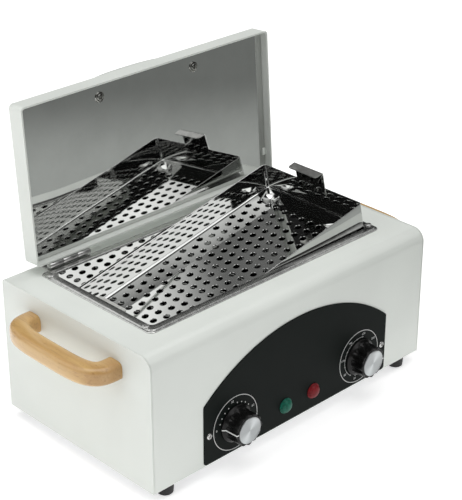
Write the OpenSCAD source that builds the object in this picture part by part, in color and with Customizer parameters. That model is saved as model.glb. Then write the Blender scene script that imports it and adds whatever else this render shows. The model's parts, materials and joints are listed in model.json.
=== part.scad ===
// Dry heat sterilizer with a hinged lid and a lift-out perforated tray.
// Origin on the bench, under the middle of the case. X runs along the front, Y to the back, Z up.
// It is drawn with the lid open and the tray leaning on the right edge of the chamber.

/* [Case] */
// Width of the painted case
case_w = 340; // [330:1:400]
// Depth of the case
case_d = 195; // [190:1:240]
// Height of the case without its feet
case_h = 129; // [125:1:160]
// Thickness of the case sheet
sheet_t = 1.2; // [0.8:0.1:1.6]
// Outside radius of the bend between front and top
front_bend_r = 12; // [5:0.5:18]
// Outside radius of the bend between top and back
back_bend_r = 3; // [2.5:0.1:6]
// Gap of the seam between the wrap and a side panel
seam = 0.3; // [0.2:0.05:0.6]
// Depth of a side panel's inner flange
flange_w = 12; // [6:1:18]

/* [Feet] */
// Height of a rubber foot
foot_h = 11; // [9:0.5:18]
// Radius of a foot where it meets the case
foot_r = 8; // [7:0.5:12]
// Foot centre to the side of the case
foot_in_x = 21; // [16:1:40]
// Foot centre to the front or back of the case
foot_in_y = 9.4; // [9:0.2:30]
// Radius of a foot screw's shank
foot_screw_r = 2; // [1.5:0.25:2.5]

/* [Chamber] */
// Inside width of the chamber
chamber_w = 266.6; // [264.5:0.1:275]
// Inside depth of the chamber, front to back
chamber_d = 129; // [129:0.5:140]
// Middle of the chamber behind the middle of the case
chamber_y = 6.5; // [3:0.5:8]
// Floor of the chamber below the top of its rim
chamber_h = 58.6; // [50:0.1:62]
// Inside radius of the chamber's upright corners
chamber_r = 5; // [3:0.5:9]
// Thickness of the stainless sheet
pan_t = 0.8; // [0.6:0.1:1.2]
// Width of the chamber's own flange
pan_flange_w = 7; // [5:0.5:8]
// Width of the white rim around the chamber's mouth
rim_w = 9; // [8.5:0.5:12]
// Height of the rim above the case
rim_h = 2; // [1.8:0.1:4]
// Width of the rim's outer step
rim_step_w = 2; // [1:0.25:3]
// Drop of the rim's outer step
rim_step_h = 1; // [0.5:0.1:1]
// Radius of a rim screw's head
rim_screw_r = 3.2; // [2.5:0.1:4]

/* [Lid] */
// Lid past the rim, left and right
lid_over_x = 3.7; // [2:0.1:8]
// Lid past the rim at the front
lid_over_front = 3; // [2:0.1:8]
// Lid's back wall in front of the rim's back edge
lid_back_in = 3.8; // [3.5:0.1:5]
// Thickness of the closed lid
lid_h = 17.2; // [16:0.1:25]
// Wall of the lid's pan
lid_wall = 1.5; // [1:0.1:2]
// Radius of the lid's upright corners
lid_corner_r = 4; // [3:0.5:8]
// Gap between the closed lid and the rim
lid_gap = 0.3; // [0.3:0.05:1]
// Depth of the liner inside the lid's open side
liner_depth = 8; // [7:0.5:9]
// Thickness of the mirror liner
liner_t = 0.6; // [0.5:0.1:1]
// Gap around the liner
liner_gap = 0.5; // [0.3:0.1:1]
// How far the lid opens
lid_open = 93.8; // [80:0.1:100]

/* [Hinges] */
// Hinge centre to the middle of the case
hinge_x = 109; // [70:1:115]
// Length of a hinge
hinge_l = 45; // [36:1:60]
// Length of the lid's knuckle in the middle
lid_knuckle_l = 16; // [12:0.5:22]
// Outside radius of a knuckle
knuckle_r = 3; // [2.7:0.1:3.1]
// Radius of a hinge pin
pin_r = 1.5; // [1.2:0.05:1.8]
// Running clearance around a hinge pin
pin_fit = 0.06; // [0.03:0.01:0.1]
// Thickness of a hinge leaf
leaf_t = 1.4; // [1:0.1:1.5]
// Hinge axis behind the lid's back wall
pivot_back = 3.7; // [3.5:0.1:4.5]
// Hinge axis above the lid's open side
pivot_up = 3.3; // [3.3:0.1:4.5]
// Depth of the fixed leaf on the case
fixed_leaf_d = 13; // [11:0.5:13.5]
// Height of the lid's leaf on the back wall
lid_leaf_h = 12.5; // [11:0.5:13.5]

/* [Tray] */
// Length of the tray
tray_l = 260; // [250:0.5:260]
// Gap between the tray and the chamber, front and back
tray_side_gap = 0.9; // [0.6:0.1:3]
// Height of the tray's walls
tray_h = 26.6; // [20:0.5:30]
// Thickness of the tray's sheet
tray_t = 0.8; // [0.6:0.1:1]
// Radius of the tray's upright corners
tray_r = 4; // [3:0.5:8]
// Gap between the seated tray and the chamber's left wall
tray_left_gap = 1.3; // [0.8:0.1:2]
// Gap between the seated tray's feet and the chamber floor
tray_floor_gap = 0.4; // [0.3:0.05:0.8]
// Radius of a hole in the tray
hole_r = 3.1; // [2.5:0.1:3.6]
// Pitch of the holes
hole_pitch = 11.05; // [10:0.05:14]
// Number of columns of holes
hole_columns = 20; // [10:1:20]
// Number of holes in the longer columns
hole_rows = 11; // [6:1:11]
// Radius of a dimple foot
dimple_r = 8; // [6:0.5:9]
// Depth of a dimple foot
dimple_h = 3.2; // [2:0.1:4]
// Dimple foot to the end of the tray
dimple_in_x = 14.5; // [12:0.5:18]
// Dimple foot to the side of the tray
dimple_in_y = 18.5; // [12:0.5:24]
// Width of a lifting tab
tab_w = 36; // [24:1:50]
// Height of a tab above the wall
tab_h = 18; // [10:0.5:20]
// Length of a tab's lip
tab_lip = 10.5; // [6:0.5:14]
// Lean of the tray in this position
tray_lean = 12.29; // [11:0.01:12.3]
// Pole of the tray's lean inside its left end
pole_in = 5.3; // [4:0.1:7]
// Pole of the tray's lean above its plate
pole_up = 49.4; // [48:0.1:50]

/* [Front panel] */
// Middle of the panel beside the middle of the case
panel_x = 3.2; // [0:0.1:6]
// Width of the black panel
panel_w = 232.6; // [220:0.1:260]
// Bottom of the panel above the bottom of the case
panel_low = 1.5; // [1:0.1:4]
// Height of the panel's straight sides
panel_side_h = 58.5; // [45:0.5:65]
// Height of the panel in the middle
panel_h = 102; // [90:0.5:105]
// Thickness of the panel
panel_t = 1; // [0.8:0.1:2]
// Knob centre to the middle of the panel
dial_x = 79.4; // [70:0.1:90]
// Knobs above the bottom of the case
dial_z = 29.7; // [27:0.1:36]
// Lamp centre to the middle of the panel
lamp_x = 17.8; // [12:0.1:30]
// Lamps above the bottom of the case
lamp_z = 19.3; // [14:0.1:30]
// Radius of a lamp's lens
lens_r = 7.4; // [5:0.1:8]
// Height of a lens in front of the panel
lens_h = 5; // [3:0.1:7]
// Panel screw to the middle of the panel
panel_screw_x = 110.5; // [109:0.5:111]
// Radius of a panel screw's head
panel_screw_r = 3; // [2.5:0.1:3.5]

/* [Knobs] */
// Radius of a knob's skirt
skirt_r = 18; // [16:0.5:22]
// Thickness of the skirt
skirt_h = 3.2; // [2:0.1:5]
// Radius of the fluted grip
grip_r = 15.5; // [13.5:0.5:16]
// Height of the grip above the skirt
grip_h = 13.4; // [9:0.1:16]
// Number of flutes in a grip
flutes = 12; // [8:1:24]
// Radius of the bright cap
cap_r = 12.5; // [10:0.5:12.5]
// Thickness of the cap
cap_t = 1; // [0.6:0.1:2]
// Gap between the skirt and the panel
knob_gap = 0.6; // [0.4:0.1:1.5]
// Radius of a knob's shaft
shaft_r = 3; // [2.5:0.1:3.5]
// Running clearance around a shaft
shaft_fit = 0.05; // [0.03:0.01:0.1]

/* [Side handles] */
// Length of a handle
grip_l = 126; // [110:1:140]
// Height of the bow's section
bow_h = 17; // [14:0.5:20]
// Thickness of the bow's section
bow_t = 18.5; // [14:0.5:20]
// Handle's outer face to the side panel
bow_out = 34; // [32:0.5:45]
// Middle of the handles above the bottom of the case
bow_z = 104; // [95:0.5:108]

/* [Lid handle] */
// Foot of the lid handle to the middle of the lid
pull_x = 56; // [45:1:65]
// Lid handle behind the lid's front edge
pull_in = 15.3; // [12:0.1:22]
// Height of the lid handle's centre line
pull_out = 22; // [20:0.5:26]
// Width of the lid handle's section
pull_w = 15; // [12:0.5:17]
// Thickness of the lid handle's section
pull_t = 8; // [6:0.5:9]
// Radius of a lid handle screw's shank
pull_screw_r = 2; // [1.5:0.25:2.2]

/* [Inside] */
// Thickness of the mineral wool around the chamber
wool_t = 12; // [8:0.5:16]
// Gap between the wool and the chamber
wool_gap = 0.5; // [0.3:0.1:1]
// Thickness of the wool under the heater
wool_floor_t = 10; // [8:0.5:12]
// Radius of the tubular heater
heater_r = 3.5; // [3:0.1:4]
// Middle of the heater's legs apart
heater_pitch = 62; // [40:1:80]
// Heater's bend to the chamber's left wall
heater_in = 20; // [10:1:30]
// Heater's legs past the wool on the right
heater_out = 8; // [6:1:12]
// Length of a heater's terminal pin
heater_pin_l = 10; // [6:1:12]
// First heater clamp to the middle of the case
clamp_left = 60; // [40:1:70]
// Second heater clamp to the middle of the case
clamp_right = 10; // [5:1:30]
// Width of a heater clamp
clamp_w = 12; // [8:1:16]
// Thickness of a heater clamp's strap
clamp_t = 0.8; // [0.6:0.1:1.2]
// Radius of the timer's case
timer_r = 21; // [18:0.5:22]
// Depth of the timer's case
timer_d = 30; // [24:0.5:32]
// Radius of the thermostat's case
thermostat_r = 17; // [14:0.5:20]
// Depth of the thermostat's case
thermostat_d = 24; // [18:0.5:28]
// Radius of the bushings that hold the shafts
bushing_r = 4.5; // [4.2:0.1:6]
// Radius of the thermostat's bulb
bulb_r = 2.5; // [2:0.1:3]
// Length of the thermostat's bulb
bulb_l = 60; // [40:1:70]
// Radius of the thermostat's capillary
capillary_r = 1; // [0.8:0.1:1.2]

/* [Mains inlet] */
// Inlet beside the middle of the case
inlet_x = 110; // [90:1:120]
// Inlet above the bottom of the case
inlet_z = 26; // [20:1:40]
// Width of the inlet's flange
inlet_w = 50; // [48:1:56]
// Height of the inlet's flange
inlet_h = 26; // [25:1:32]
// Width of the inlet's socket
socket_w = 24.6; // [24:0.1:26]
// Height of the inlet's socket
socket_h = 17; // [16:0.1:18]

/* [Hidden] */
$fn = 48;

top_z = foot_h + case_h;
rim_top = top_z + rim_h;
floor_z = rim_top - chamber_h;
chamber_front = chamber_y - chamber_d / 2;
chamber_back = chamber_y + chamber_d / 2;
rim_outer_w = chamber_w + 2 * rim_w;
rim_outer_d = chamber_d + 2 * rim_w;
wall_in_y = case_d / 2 - sheet_t;
wall_in_x = case_w / 2 - sheet_t;

// The lid is drawn closed, from its hinge axis, and then opened.
lid_w = rim_outer_w + 2 * lid_over_x;
lid_d = rim_outer_d + lid_over_front - lid_back_in;
lid_face = rim_top + lid_gap;
pivot_y = chamber_back + rim_w - lid_back_in + pivot_back;
pivot_z = lid_face + pivot_up;
lid_back = -pivot_back;
lid_mid = lid_back - lid_d / 2;
lid_low = -pivot_up;
liner_low = lid_low + liner_depth;
liner_high = liner_low + liner_t;
lid_ceiling = lid_low + lid_h - lid_wall;
liner_w = lid_w - 2 * lid_wall - 2 * liner_gap;
liner_d = lid_d - 2 * lid_wall - 2 * liner_gap;
pull_y = lid_back - lid_d + pull_in;

// The tray is drawn seated and then leaned about its pole.
tray_w = chamber_d - 2 * tray_side_gap;
tray_z = floor_z + tray_floor_gap + dimple_h;
tray_left = -chamber_w / 2 + tray_left_gap;
pole_x = tray_left + pole_in;
pole_z = tray_z + pole_up;
tray_mid = tray_left + tray_l / 2;
holes_l = (hole_columns - 1) * hole_pitch;
holes_w = (hole_rows - 1) * hole_pitch;

panel_sag = panel_h - panel_side_h;
panel_arc_r = (panel_w * panel_w / 4 + panel_sag * panel_sag) / (2 * panel_sag);
knob_base = panel_t + knob_gap;
grip_base = knob_base + skirt_h;
cap_base = grip_base + grip_h;
lens_stem_r = 4.5;
lens_lip_h = 1.2;
lamp_holder_r = 6.5;
lamp_holder_d = 14;
shaft_back = 12;
knob_bore_h = grip_base + grip_h / 2;

wool_in_w = chamber_w + 2 * (pan_t + wool_gap);
wool_in_d = chamber_d + 2 * (pan_t + wool_gap);
heater_z = floor_z - pan_t - heater_r;
wool_floor = heater_z - heater_r;
wool_low = wool_floor - wool_floor_t;
wool_high = top_z - 2 * sheet_t - wool_gap;
heater_left = -chamber_w / 2 + heater_pitch / 2 + heater_in;
heater_right = wool_in_w / 2 + wool_t + heater_out;
capillary_bend = 4;
bulb_x = 40;
bulb_y = chamber_y;
bulb_z = floor_z - pan_t - bulb_r;
capillary_x = bulb_x + bulb_l + capillary_bend;
capillary_z = wool_low - capillary_bend;
thermostat_x = panel_x + dial_x;
timer_x = panel_x - dial_x;
dial_height = foot_h + dial_z;

screw_head_h = 1.4;
leaf_screw_r = 1.4;
leaf_screw_head_r = 2.6;
leaf_screw_l = 5;
leaf_screw_pitch = 26;
knuckle_gap = 0.3;
fixed_knuckle_l = (hinge_l - lid_knuckle_l) / 2 - knuckle_gap;
handle_screw_r = 2;
handle_screw_head_r = 4;
handle_screw_l = 16;
bow_foot_y = grip_l / 2 - bow_t / 2;
bow_center_out = bow_out - bow_t / 2;
bow_power = 0.5;
pull_power = 0.8;
socket_d = 16;
inlet_t = 2.5;
inlet_wall = 1.6;
inlet_screw_x = 20;

// A rectangle with true round corners, centred.
module round_rect(w, d, r) {
    square([w - 2 * r, d], center = true);
    square([w, d - 2 * r], center = true);
    for (x = [-1, 1], y = [-1, 1])
        translate([x * (w / 2 - r), y * (d / 2 - r)])
            circle(r = r);
}

// The case seen from its side, drawn in Y and Z, and made smaller all round by inset.
module case_outline(inset) {
    translate([-case_d / 2 + inset, foot_h])
        square([case_d - 2 * inset, case_h - front_bend_r]);
    translate([-case_d / 2 + front_bend_r, foot_h])
        square([case_d - front_bend_r - back_bend_r, case_h - inset]);
    translate([0, foot_h])
        square([case_d / 2 - inset, case_h - back_bend_r]);
    translate([-case_d / 2 + front_bend_r, top_z - front_bend_r])
        circle(r = front_bend_r - inset, $fn = 72);
    translate([case_d / 2 - back_bend_r, top_z - back_bend_r])
        circle(r = back_bend_r - inset);
}

// Stands a shape drawn in Y and Z on its plane and gives it a length along X from x0.
module along_x(x0, length) {
    translate([x0, 0, 0])
        rotate([90, 0, 90])
            linear_extrude(height = length)
                children();
}

// Local Z points out of the front, from the case's front face.
module on_front(x, z) {
    translate([x, -case_d / 2, foot_h + z])
        rotate([90, 0, 0])
            children();
}

// Local Z points out of the back, from the case's back face.
module on_back(x, z) {
    translate([x, case_d / 2, foot_h + z])
        rotate([90, 0, 180])
            children();
}

// Opens what is drawn closed about the hinge axis.
module opened() {
    translate([0, pivot_y, pivot_z])
        rotate([-lid_open, 0, 0])
            children();
}

// Leans what is drawn from the seated tray's pole.
module leaned() {
    translate([pole_x, 0, pole_z])
        rotate([0, -tray_lean, 0])
            translate([-pole_x, 0, -pole_z])
                children();
}

// A pan head with a shank, its head upwards from z = 0 and its shank below.
module screw(head_r, shank_r, length) {
    cylinder(r1 = head_r, r2 = head_r * 0.7, h = screw_head_h);
    translate([0, 0, -length])
        cylinder(r = shank_r, h = length + 0.01);
}

// Points of one ring of a swept bar: a squarish oval of width w and thickness t.
ring_n = 16;
ring_power = 0.55;
function ring(center, normal, w, t) = [
    for (i = [0:ring_n - 1])
        let (a = 360 * i / ring_n)
        let (u = sign(cos(a)) * pow(abs(cos(a)), ring_power) * t / 2)
        let (v = sign(sin(a)) * pow(abs(sin(a)), ring_power) * w / 2)
        [center[0] + normal[0] * u, center[1] + normal[1] * u, v]
];

// A bar swept along a path in the XY plane. Rows of the path are point and outward normal.
module swept_bar(path, w, t) {
    points = [for (row = path) each ring(row[0], row[1], w, t)];
    last = len(path) - 1;
    sides = [
        for (k = [0:last - 1], i = [0:ring_n - 1])
            let (a = k * ring_n + i)
            let (b = k * ring_n + (i + 1) % ring_n)
            each [[a, b, b + ring_n], [a, b + ring_n, a + ring_n]]
    ];
    first_cap = [for (i = [1:ring_n - 2]) [0, i + 1, i]];
    last_cap = [for (i = [1:ring_n - 2]) [last * ring_n, last * ring_n + i, last * ring_n + i + 1]];
    polyhedron(points = points, faces = concat(sides, first_cap, last_cap), convexity = 4);
}

// The centre line of a bow: from one foot out, along and back, as a squarish half oval.
bow_n = 28;
function bow_point(a, half, out, power) =
    [-half * sign(cos(a)) * pow(abs(cos(a)), power), out * pow(sin(a), power)];
function bow_normal(a, half, out, power) =
    let (p = bow_point(max(a - 2, 0), half, out, power))
    let (q = bow_point(min(a + 2, 180), half, out, power))
    let (d = q - p)
    let (n = norm(d))
    [-d[1] / n, d[0] / n];
function bow_path(half, out, power) = [
    for (i = [0:bow_n])
        let (a = 180 * i / bow_n)
        let (flat = i == 0 ? [-1, 0] : i == bow_n ? [1, 0] : bow_normal(a, half, out, power))
        [bow_point(a, half, out, power), flat]
];

module housing_wrap() {
    color("whitesmoke")
    difference() {
        along_x(-wall_in_x + seam, 2 * (wall_in_x - seam))
            difference() {
                case_outline(0);
                case_outline(sheet_t);
            }
        translate([0, chamber_y, top_z - 2 * sheet_t])
            linear_extrude(height = 3 * sheet_t)
                round_rect(wool_in_w, wool_in_d, chamber_r + pan_t);
        for (x = [timer_x, thermostat_x])
            on_front(x, dial_z)
                translate([0, 0, -2 * sheet_t])
                    cylinder(r = bushing_r, h = 3 * sheet_t);
        for (side = [-1, 1])
            on_front(panel_x + side * lamp_x, lamp_z)
                translate([0, 0, -2 * sheet_t])
                    cylinder(r = lens_stem_r, h = 3 * sheet_t);
        on_back(inlet_x, inlet_z)
            translate([0, 0, -sheet_t])
                cube([socket_w + 2 * inlet_wall, socket_h + 2 * inlet_wall, 4 * sheet_t], center = true);
        hinge_screw_places(top_z - 2 * sheet_t)
            cylinder(r = leaf_screw_r, h = 3 * sheet_t);
    }
}

// A flat side with a flange that reaches inside the wrap.
module side_panel() {
    color("whitesmoke")
    difference() {
        union() {
            along_x(wall_in_x, sheet_t)
                case_outline(0);
            along_x(wall_in_x - flange_w, flange_w)
                difference() {
                    case_outline(sheet_t);
                    case_outline(2 * sheet_t);
                }
        }
        for (y = [-bow_foot_y, bow_foot_y])
            translate([wall_in_x - sheet_t, y, foot_h + bow_z])
                rotate([0, 90, 0])
                    cylinder(r = handle_screw_r, h = 3 * sheet_t);
    }
}

module side_panel_left() {
    mirror([1, 0, 0])
        side_panel();
}

module side_panel_right() {
    side_panel();
}

module foot_places(z) {
    for (x = [-1, 1], y = [-1, 1])
        translate([x * (case_w / 2 - foot_in_x), y * (case_d / 2 - foot_in_y), z])
            children();
}

module base_plate() {
    slot_w = 4;
    slot_l = 36;
    slot_pitch = 12;
    slots = 8;
    color("silver")
    difference() {
        translate([-wall_in_x, -wall_in_y + sheet_t, foot_h])
            cube([2 * wall_in_x, 2 * (wall_in_y - sheet_t), sheet_t]);
        foot_places(foot_h - sheet_t)
            cylinder(r = foot_screw_r, h = 3 * sheet_t);
        for (side = [-1, 1], i = [0:slots - 1])
            translate([(i - (slots - 1) / 2) * slot_pitch, side * case_d / 5, foot_h])
                cube([slot_w, slot_l, 4 * sheet_t], center = true);
    }
}

foot_bore_h = 6;
module feet() {
    lower_r = foot_r - 0.8;
    color("black")
    foot_places(0)
        rotate_extrude()
            polygon([
                [foot_screw_r, foot_bore_h], [foot_screw_r * 2.1, foot_bore_h], [foot_screw_r * 2.1, 0],
                [lower_r - 0.8, 0], [lower_r, 0.8], [foot_r, foot_h], [foot_screw_r, foot_h]
            ]);
}

module foot_screws() {
    head_r = foot_screw_r * 1.9;
    color("silver")
    foot_places(foot_bore_h) {
        translate([0, 0, -screw_head_h])
            cylinder(r = head_r, h = screw_head_h);
        cylinder(r = foot_screw_r, h = foot_h - foot_bore_h + 3 * sheet_t);
    }
}

module chamber() {
    color("gainsboro")
    translate([0, chamber_y, 0])
        difference() {
            union() {
                translate([0, 0, floor_z - pan_t])
                    linear_extrude(height = top_z - floor_z + pan_t)
                        round_rect(chamber_w + 2 * pan_t, chamber_d + 2 * pan_t, chamber_r + pan_t);
                translate([0, 0, top_z])
                    linear_extrude(height = pan_t)
                        round_rect(chamber_w + 2 * pan_flange_w, chamber_d + 2 * pan_flange_w, chamber_r);
            }
            translate([0, 0, floor_z])
                linear_extrude(height = chamber_h)
                    round_rect(chamber_w, chamber_d, chamber_r);
            rim_screw_places(top_z - pan_t)
                cylinder(r = rim_screw_r / 2, h = 3 * pan_t);
        }
}

// Places of the rim's screws from the chamber's middle.
module rim_screw_places(z) {
    for (x = [-1, 1], y = [-1, 1])
        translate([x * (chamber_w / 2 + rim_w / 2), y * (chamber_d / 2 - 2), z])
            children();
}

module rim_frame() {
    color("whitesmoke")
    translate([0, chamber_y, 0])
        difference() {
            union() {
                translate([0, 0, top_z])
                    linear_extrude(height = rim_h - rim_step_h)
                        round_rect(rim_outer_w, rim_outer_d, chamber_r + 1);
                translate([0, 0, top_z])
                    linear_extrude(height = rim_h)
                        round_rect(rim_outer_w - 2 * rim_step_w, rim_outer_d - 2 * rim_step_w, chamber_r);
            }
            translate([0, 0, top_z - 1])
                linear_extrude(height = rim_h + 2)
                    round_rect(chamber_w, chamber_d, chamber_r);
            translate([0, 0, top_z - 1])
                linear_extrude(height = 1 + pan_t)
                    round_rect(chamber_w + 2 * pan_flange_w, chamber_d + 2 * pan_flange_w, chamber_r);
            rim_screw_places(top_z - 1)
                cylinder(r = rim_screw_r / 2, h = rim_h + 2);
        }
}

module rim_screws() {
    color("silver")
    translate([0, chamber_y, 0])
        rim_screw_places(rim_top)
            screw(rim_screw_r, rim_screw_r / 2, rim_h);
}

module insulation() {
    color("khaki")
    difference() {
        translate([0, chamber_y, wool_low])
            linear_extrude(height = wool_high - wool_low)
                round_rect(wool_in_w + 2 * wool_t, wool_in_d + 2 * wool_t, chamber_r + pan_t);
        translate([0, chamber_y, wool_floor])
            linear_extrude(height = wool_high)
                round_rect(wool_in_w, wool_in_d, chamber_r + pan_t);
        for (side = [-1, 1])
            translate([0, chamber_y + side * heater_pitch / 2, heater_z])
                rotate([0, 90, 0])
                    cylinder(r = heater_r + wool_gap, h = heater_right);
        clamp_straps(wool_gap);
        translate([capillary_x, bulb_y, wool_low - 1])
            cylinder(r = capillary_r + wool_gap, h = wool_floor_t + 2);
    }
}

module heating_element() {
    color("dimgray")
    translate([0, chamber_y, heater_z]) {
        for (side = [-1, 1])
            translate([heater_left, side * heater_pitch / 2, 0])
                rotate([0, 90, 0]) {
                    cylinder(r = heater_r, h = heater_right - heater_left);
                    cylinder(r = heater_r / 2, h = heater_right - heater_left + heater_pin_l);
                }
        translate([heater_left, 0, 0])
            rotate([0, 0, 90])
                rotate_extrude(angle = 180)
                    translate([heater_pitch / 2, 0])
                        circle(r = heater_r);
    }
}

// The straps of the heater's clamps, made larger all round by gap.
module clamp_straps(gap) {
    for (x = [-clamp_left, clamp_right])
        translate([x, chamber_y, wool_floor - clamp_t / 2])
            cube([clamp_w + 2 * gap, heater_pitch + 4 * heater_r + 2 * gap, clamp_t + 2 * gap], center = true);
}

// Straps under the heater's legs, with a block between the legs.
module heater_clamps() {
    leg_gap = 2;
    block_d = heater_pitch - 2 * heater_r - 2 * leg_gap;
    color("silver") {
        clamp_straps(0);
        for (x = [-clamp_left, clamp_right])
            translate([x, chamber_y, wool_floor + heater_r])
                cube([clamp_w, block_d, 2 * heater_r], center = true);
    }
}

// A round control behind the front, with a bushing through the sheet and the panel.
module control(r, depth, z0) {
    difference() {
        union() {
            translate([0, 0, -sheet_t - depth])
                cylinder(r = r, h = depth);
            cylinder(r = bushing_r, h = panel_t);
            translate([0, 0, -sheet_t])
                cylinder(r = bushing_r, h = sheet_t);
        }
        translate([0, 0, -sheet_t - z0])
            cylinder(r = shaft_r + shaft_fit, h = z0 + 2 * sheet_t + panel_t);
    }
}

module thermostat() {
    lug_w = 6;
    lug_h = 9;
    color("ivory")
    on_front(thermostat_x, dial_z) {
        control(thermostat_r, thermostat_d, shaft_back + shaft_fit);
        for (side = [-1, 1])
            translate([side * thermostat_r / 2 - lug_w / 2, -0.4, -sheet_t - thermostat_d - lug_h])
                cube([lug_w, 0.8, lug_h]);
    }
}

module thermostat_bulb() {
    drop = bulb_z - capillary_z;
    reach = bulb_y + case_d / 2 - sheet_t - thermostat_d / 2;
    low_z = dial_height + thermostat_r;
    color("peru") {
        translate([bulb_x, bulb_y, bulb_z])
            rotate([0, 90, 0]) {
                cylinder(r = bulb_r, h = bulb_l);
                cylinder(r = capillary_r, h = bulb_l + capillary_bend);
            }
        translate([capillary_x, bulb_y, bulb_z])
            sphere(r = capillary_r);
        translate([capillary_x, bulb_y, capillary_z])
            cylinder(r = capillary_r, h = drop);
        translate([capillary_x, bulb_y, capillary_z])
            sphere(r = capillary_r);
        translate([capillary_x, bulb_y - reach, capillary_z])
            rotate([-90, 0, 0])
                cylinder(r = capillary_r, h = reach);
        translate([capillary_x, bulb_y - reach, capillary_z])
            sphere(r = capillary_r);
        translate([thermostat_x, bulb_y - reach, capillary_z])
            rotate([0, 90, 0])
                cylinder(r = capillary_r, h = capillary_x - thermostat_x);
        translate([thermostat_x, bulb_y - reach, capillary_z])
            sphere(r = capillary_r);
        translate([thermostat_x, bulb_y - reach, low_z])
            cylinder(r = capillary_r, h = capillary_z - low_z);
    }
}

module timer() {
    lug_w = 6;
    lug_h = 9;
    color("ivory")
    on_front(timer_x, dial_z) {
        control(timer_r, timer_d, shaft_back + shaft_fit);
        for (side = [-1, 1])
            translate([side * timer_r / 2 - lug_w / 2, -0.4, -sheet_t - timer_d - lug_h])
                cube([lug_w, 0.8, lug_h]);
    }
}

module terminal_block() {
    ways = 5;
    way_w = 12;
    block_d = 20;
    block_h = 14;
    screw_in = block_d / 4;
    color("ivory")
    translate([-ways * way_w / 2, case_d / 6, foot_h + sheet_t])
        difference() {
            cube([ways * way_w, block_d, block_h]);
            for (i = [0:ways - 1], y = [screw_in, block_d - screw_in])
                translate([(i + 0.5) * way_w, y, block_h / 2])
                    cylinder(r = way_w / 4, h = block_h);
        }
}

module power_inlet() {
    body_d = socket_d + inlet_wall;
    blade_w = 2;
    blade_h = 4;
    blade_l = 13;
    blade_x = 7;
    blade_z = 2;
    chamfer = 5;
    color("black")
    on_back(inlet_x, inlet_z) {
        difference() {
            union() {
                linear_extrude(height = inlet_t)
                    round_rect(inlet_w, inlet_h, 4);
                translate([0, 0, -body_d / 2 + 0.5])
                    cube([socket_w + 2 * inlet_wall, socket_h + 2 * inlet_wall, body_d + 1], center = true);
            }
            translate([0, 0, inlet_t - socket_d])
                linear_extrude(height = socket_d + 1)
                    polygon([
                        [-socket_w / 2, -socket_h / 2], [socket_w / 2, -socket_h / 2],
                        [socket_w / 2, socket_h / 2 - chamfer], [socket_w / 2 - chamfer, socket_h / 2],
                        [-socket_w / 2 + chamfer, socket_h / 2], [-socket_w / 2, socket_h / 2 - chamfer]
                    ]);
            for (side = [-1, 1])
                translate([side * inlet_screw_x, 0, -1])
                    cylinder(r = leaf_screw_r, h = inlet_t + 2);
        }
        for (p = [[-blade_x, -blade_z], [0, blade_z], [blade_x, -blade_z]])
            translate([p[0] - blade_w / 2, p[1] - blade_h / 2, inlet_t - socket_d - 0.5])
                cube([blade_w, blade_h, blade_l]);
    }
}

module inlet_screws() {
    color("silver")
    for (side = [-1, 1])
        on_back(inlet_x + side * inlet_screw_x, inlet_z)
            translate([0, 0, inlet_t])
                screw(leaf_screw_head_r, leaf_screw_r, inlet_t);
}

// The panel seen from the front, from its bottom edge.
module panel_outline() {
    intersection() {
        translate([-panel_w / 2, 0])
            square([panel_w, panel_h]);
        translate([0, panel_h - panel_arc_r])
            circle(r = panel_arc_r, $fn = 180);
    }
}

module control_panel() {
    color([0.12, 0.13, 0.13])
    difference() {
        on_front(panel_x, panel_low)
            linear_extrude(height = panel_t)
                panel_outline();
        for (x = [timer_x, thermostat_x])
            on_front(x, dial_z)
                translate([0, 0, -1])
                    cylinder(r = bushing_r, h = panel_t + 2);
        for (side = [-1, 1])
            on_front(panel_x + side * lamp_x, lamp_z)
                translate([0, 0, -1])
                    cylinder(r = lens_stem_r, h = panel_t + 2);
    }
}

module control_panel_screws() {
    color("silver")
    for (side = [-1, 1])
        on_front(panel_x + side * panel_screw_x, dial_z)
            translate([0, 0, panel_t])
                cylinder(r1 = panel_screw_r, r2 = panel_screw_r * 0.7, h = screw_head_h);
}

// A domed lens with a stem through the panel and the sheet.
module lens() {
    rotate_extrude()
        polygon(concat(
            [[0, -sheet_t - lamp_holder_d / 2], [lens_stem_r, -sheet_t - lamp_holder_d / 2]],
            [[lens_stem_r, panel_t], [lens_r, panel_t], [lens_r, panel_t + lens_lip_h]],
            [for (a = [0:10:90]) [(lens_r - 0.6) * cos(a), panel_t + lens_lip_h + (lens_h - lens_lip_h) * sin(a)]]
        ));
}

module green_lens() {
    color([0.1, 0.55, 0.35])
    on_front(panel_x - lamp_x, lamp_z)
        lens();
}

module red_lens() {
    color([0.75, 0.1, 0.1])
    on_front(panel_x + lamp_x, lamp_z)
        lens();
}

module lamp_holders() {
    color("ivory")
    for (side = [-1, 1])
        on_front(panel_x + side * lamp_x, lamp_z)
            translate([0, 0, -sheet_t - lamp_holder_d])
                difference() {
                    cylinder(r = lamp_holder_r, h = lamp_holder_d);
                    translate([0, 0, lamp_holder_d / 2])
                        cylinder(r = lens_stem_r, h = lamp_holder_d);
                }
}

// A wooden bow, drawn with its feet on X = 0 and its bow towards plus X.
module wooden_bow() {
    color([0.78, 0.63, 0.41])
    difference() {
        rotate([0, 0, -90])
            swept_bar(bow_path(bow_foot_y, bow_center_out, bow_power), bow_h, bow_t);
        for (y = [-bow_foot_y, bow_foot_y])
            translate([-1, y, 0])
                rotate([0, 90, 0])
                    cylinder(r = handle_screw_r, h = handle_screw_l + 1);
    }
}

module side_handle_left() {
    translate([-case_w / 2, 0, foot_h + bow_z])
        rotate([0, 0, 180])
            wooden_bow();
}

module side_handle_right() {
    translate([case_w / 2, 0, foot_h + bow_z])
        wooden_bow();
}

module side_handle_screws() {
    color("silver")
    for (side = [0, 180], y = [-bow_foot_y, bow_foot_y])
        rotate([0, 0, side])
            translate([wall_in_x, y, foot_h + bow_z])
                rotate([0, -90, 0])
                    screw(handle_screw_head_r, handle_screw_r, handle_screw_l);
}

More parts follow.
